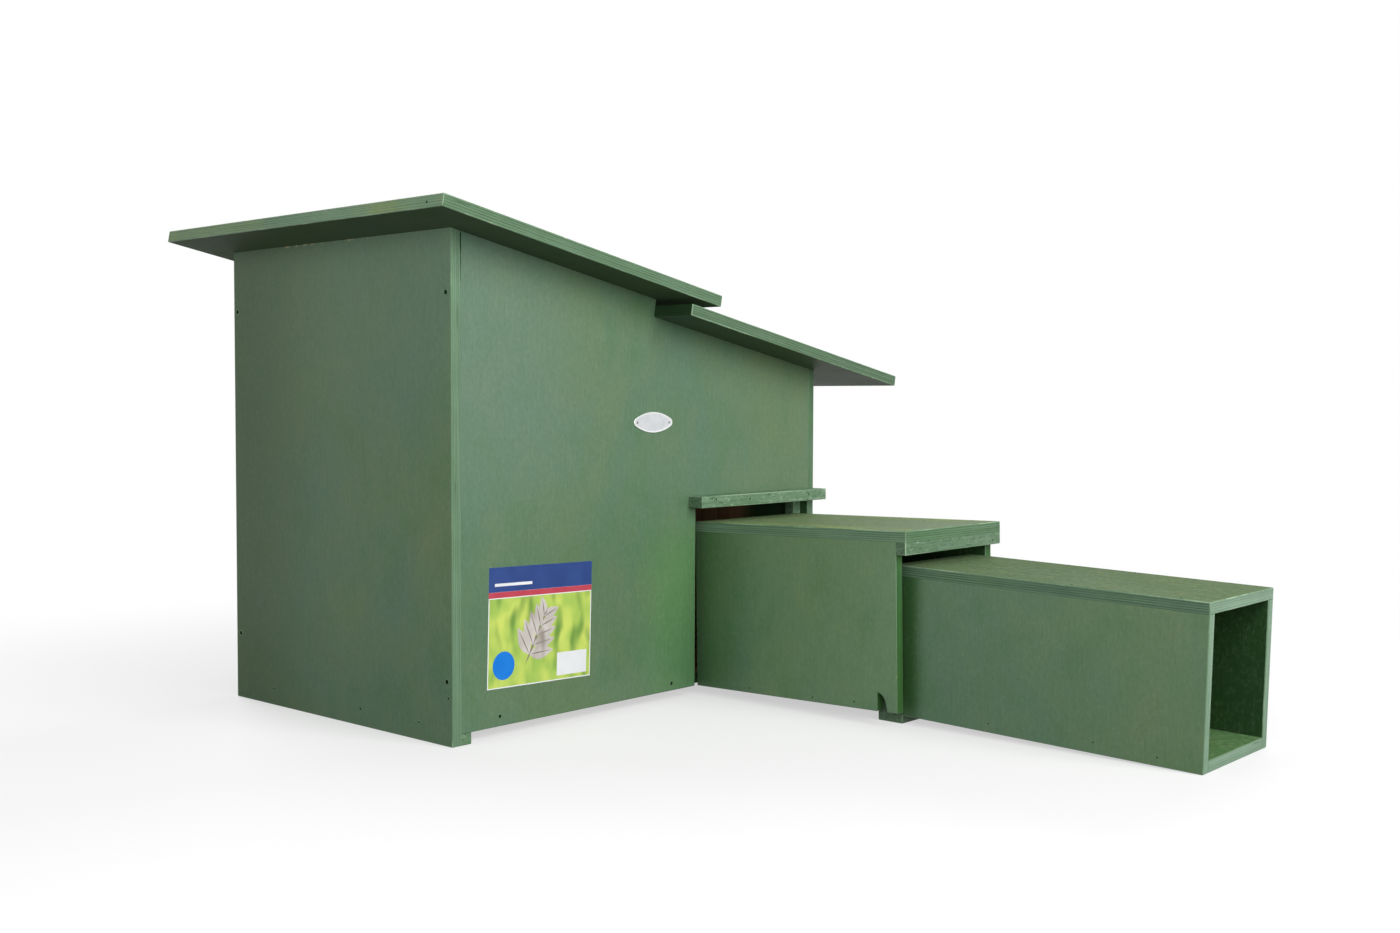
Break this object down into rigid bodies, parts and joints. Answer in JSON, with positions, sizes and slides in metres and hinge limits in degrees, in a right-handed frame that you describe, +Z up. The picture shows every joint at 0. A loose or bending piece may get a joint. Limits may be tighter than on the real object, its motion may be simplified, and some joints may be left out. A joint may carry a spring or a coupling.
{
  "type": "hedgehog house",
  "caption": "Green plywood hedgehog house with a stepped shed roof, lift-off upper roof board, inner partition and a two-section entrance tunnel that pulls away from the front.",
  "frame": {"origin": "middle of the footprint, roof and tunnels included, on the ground", "axes": "+X along the front from the tall end to the low end, +Y from the front to the rear with the tunnels towards -Y, +Z up"},
  "size_m": [0.7608, 1.0634, 0.5486],
  "materials": {
    "green_panel": "matt green wood stain on plywood",
    "green_roof": "matt green wood stain on plywood, plies showing at the edges",
    "green_tunnel": "matt green wood stain on plywood",
    "green_batten": "matt green wood stain on softwood",
    "bare_wood": "unpainted plywood and softwood",
    "plate_metal": "satin"
  },
  "bodies": {
    "house": {"tall_end_panel": "green_panel", "low_end_panel": "green_panel", "front_panel": "green_panel", "rear_panel": "green_panel", "floor_panel": "bare_wood", "tall_end_runner": "green_batten", "low_end_runner": "green_batten", "partition_panel": "bare_wood", "entrance_jamb": "green_batten", "awning_batten": "green_batten", "step_rail": "bare_wood", "lower_roof_board": "green_roof", "oval_plate": "plate_metal"},
    "upper_roof": {"upper_roof_board": "green_roof", "upper_roof_high_cleat": "bare_wood", "upper_roof_low_cleat": "bare_wood"},
    "tunnel_1": {"tunnel_1_tall_side": "green_tunnel", "tunnel_1_low_side": "green_tunnel", "tunnel_1_top": "green_tunnel", "tunnel_1_floor": "green_tunnel", "tunnel_1_drip_batten": "green_batten", "tunnel_1_front_foot": "green_batten", "tunnel_1_rear_foot": "green_batten"},
    "tunnel_2": {"tunnel_2_tall_side": "green_tunnel", "tunnel_2_low_side": "green_tunnel", "tunnel_2_top": "green_tunnel", "tunnel_2_floor": "green_tunnel"}
  },
  "joints": [
    {"name": "upper_roof_lift", "type": "slide", "parent": "house", "child": "upper_roof", "axis": [0, 0, 1], "range_m": [0, 0.15]},
    {"name": "tunnel_1_pull", "type": "slide", "parent": "house", "child": "tunnel_1", "axis": [0, -1, 0], "range_m": [0, 0.12]},
    {"name": "tunnel_2_pull", "type": "slide", "parent": "tunnel_1", "child": "tunnel_2", "axis": [0, -1, 0], "range_m": [0, 0.12]}
  ]
}
